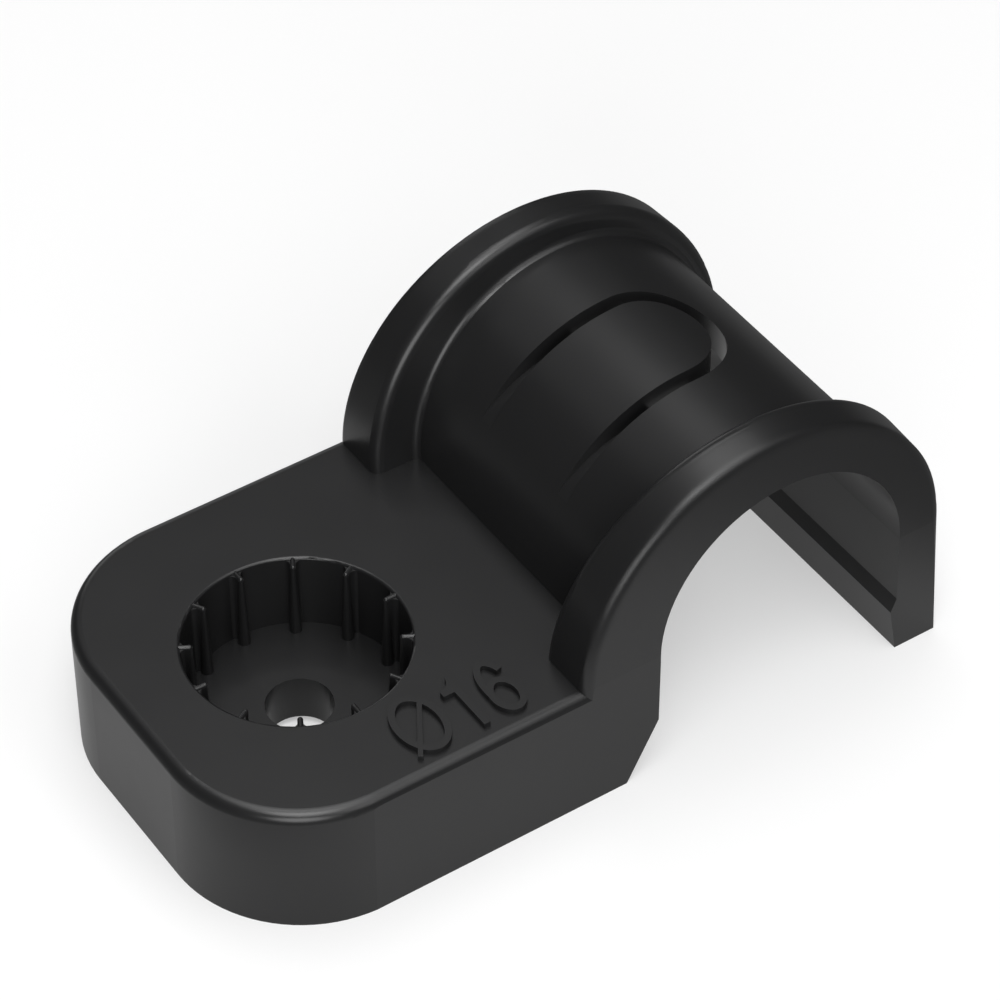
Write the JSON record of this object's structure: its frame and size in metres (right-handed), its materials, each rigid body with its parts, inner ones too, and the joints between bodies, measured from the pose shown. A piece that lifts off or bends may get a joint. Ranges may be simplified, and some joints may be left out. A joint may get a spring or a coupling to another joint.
{
  "type": "conduit clip",
  "caption": "Clip for round conduit: a thick foot with a ribbed driver well over its nail hole, and an arched saddle with end rims, a spring tongue and a barbed leg.",
  "frame": {"origin": "nail hole axis on the mounting plane", "axes": "+X from the nail hole towards the saddle, +Y along the conduit, +Z away from the mounting plane"},
  "size_m": [0.0448, 0.0242, 0.0202],
  "materials": {
    "plastic": "satin black moulded plastic"
  },
  "bodies": {
    "root": {"clip": "plastic"}
  },
  "joints": []
}
